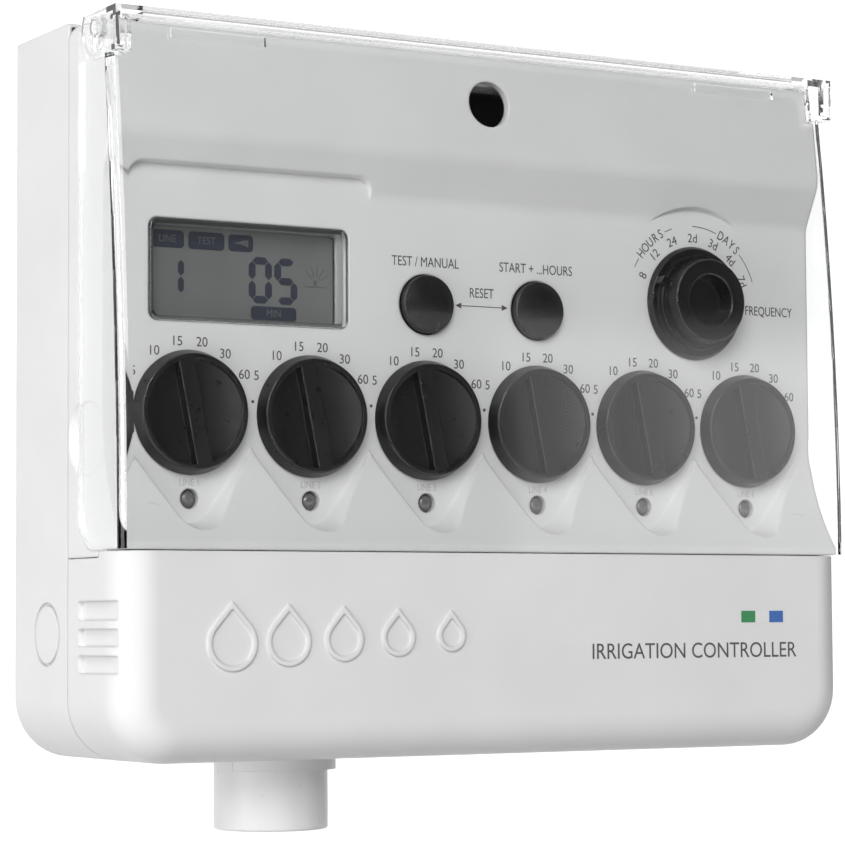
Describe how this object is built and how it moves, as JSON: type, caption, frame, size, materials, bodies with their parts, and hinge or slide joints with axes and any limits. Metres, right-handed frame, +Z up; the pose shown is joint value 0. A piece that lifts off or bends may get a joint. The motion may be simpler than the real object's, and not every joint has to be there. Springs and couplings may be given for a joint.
{
  "type": "irrigation controller",
  "caption": "Wall-mounted irrigation timer with zone dials, a frequency dial, push buttons, a display, a clear hinged lid and a wiring compartment.",
  "frame": {"origin": "centre of the flat back face, which lies on the wall", "axes": "+X along the width, to the right as seen from the front; +Y into the wall; +Z up"},
  "size_m": [0.225, 0.0685, 0.2094],
  "materials": {
    "casing": "fine matt texture, white ABS",
    "sleeve": "smooth satin white",
    "seal": "matt",
    "clear_lid": "clear polished polycarbonate",
    "clear_window": "clear polished acrylic",
    "display": "grey liquid crystal display",
    "white_pins": "smooth",
    "black_controls": "satin black",
    "black_parts": "matt black",
    "nylon": "natural",
    "lamps": "smoked diffusing lens",
    "circuit_board": "solder mask",
    "steel_screws": "zinc plated",
    "core_steel": "stacked laminations",
    "coil_tape": "yellow winding tape",
    "terminal_green": "moulded",
    "fuse_glass": "glass tube",
    "clip_brass": "bright",
    "battery_case": "printed sleeve",
    "ribbon_grey": "satin"
  },
  "bodies": {
    "casing": {"backup_battery": "battery_case", "battery_connector": "black_parts", "board_screws": "steel_screws", "board_spacers": "nylon", "cable_clamp": "white_pins", "cable_clamp_screws": "steel_screws", "capacitor": "black_parts", "casing_gasket": "seal", "casing_screws": "steel_screws", "conduit_sleeve": "sleeve", "control_board": "circuit_board", "controller_chip": "black_parts", "cover_screws": "steel_screws", "frequency_switch": "black_parts", "front_shell": "casing", "fuse": "fuse_glass", "fuse_clips": "clip_brass", "lcd_contact_strips": "seal", "lcd_frame": "white_pins", "lcd_glass": "display", "lcd_window": "clear_window", "mains_terminal_block": "terminal_green", "mains_terminal_block_screws": "steel_screws", "power_board": "circuit_board", "power_board_screws": "steel_screws", "push_switches": "black_parts", "rear_shell": "casing", "ribbon_cable": "ribbon_grey", "terminal_cover": "casing", "transformer_coil": "coil_tape", "transformer_core": "core_steel", "triacs": "black_parts", "zone_leds": "lamps", "zone_switches": "black_parts", "zone_terminal_block": "terminal_green", "zone_terminal_block_screws": "steel_screws"},
    "lid": {"lid": "clear_lid", "hinge_pins": "white_pins"},
    "zone_dial_1": {"zone_knob_1": "black_controls", "zone_shaft_1": "nylon"},
    "zone_dial_2": {"zone_knob_2": "black_controls", "zone_shaft_2": "nylon"},
    "zone_dial_3": {"zone_knob_3": "black_controls", "zone_shaft_3": "nylon"},
    "zone_dial_4": {"zone_knob_4": "black_controls", "zone_shaft_4": "nylon"},
    "zone_dial_5": {"zone_knob_5": "black_controls", "zone_shaft_5": "nylon"},
    "zone_dial_6": {"zone_knob_6": "black_controls", "zone_shaft_6": "nylon"},
    "frequency_dial": {"frequency_knob": "black_controls", "frequency_shaft": "nylon"},
    "test_push": {"test_button": "black_controls", "test_plunger": "nylon"},
    "start_push": {"start_button": "black_controls", "start_plunger": "nylon"}
  },
  "joints": [
    {"name": "lid_hinge", "type": "hinge", "parent": "casing", "child": "lid", "pos_m": [0, -0.0515, 0.0913], "axis": [-1, 0, 0], "range_deg": [0, 100]},
    {"name": "zone_1_turn", "type": "hinge", "parent": "casing", "child": "zone_dial_1", "pos_m": [-0.0875, -0.05, -0.0063], "axis": [0, 1, 0], "range_deg": [-67.5, 67.5]},
    {"name": "zone_2_turn", "type": "hinge", "parent": "casing", "child": "zone_dial_2", "pos_m": [-0.0525, -0.05, -0.0063], "axis": [0, 1, 0], "range_deg": [-67.5, 67.5]},
    {"name": "zone_3_turn", "type": "hinge", "parent": "casing", "child": "zone_dial_3", "pos_m": [-0.0175, -0.05, -0.0063], "axis": [0, 1, 0], "range_deg": [-67.5, 67.5]},
    {"name": "zone_4_turn", "type": "hinge", "parent": "casing", "child": "zone_dial_4", "pos_m": [0.0175, -0.05, -0.0063], "axis": [0, 1, 0], "range_deg": [-67.5, 67.5]},
    {"name": "zone_5_turn", "type": "hinge", "parent": "casing", "child": "zone_dial_5", "pos_m": [0.0525, -0.05, -0.0063], "axis": [0, 1, 0], "range_deg": [-67.5, 67.5]},
    {"name": "zone_6_turn", "type": "hinge", "parent": "casing", "child": "zone_dial_6", "pos_m": [0.0875, -0.05, -0.0063], "axis": [0, 1, 0], "range_deg": [-67.5, 67.5]},
    {"name": "frequency_turn", "type": "hinge", "parent": "casing", "child": "frequency_dial", "pos_m": [0.07, -0.05, 0.0293], "axis": [0, 1, 0], "range_deg": [0, 135]},
    {"name": "test_press", "type": "slide", "parent": "casing", "child": "test_push", "axis": [0, 1, 0], "range_m": [0, 0.001], "stiffness_N_per_m": 1500, "springref_m": -0.0006},
    {"name": "start_press", "type": "slide", "parent": "casing", "child": "start_push", "axis": [0, 1, 0], "range_m": [0, 0.001], "stiffness_N_per_m": 1500, "springref_m": -0.0006}
  ]
}
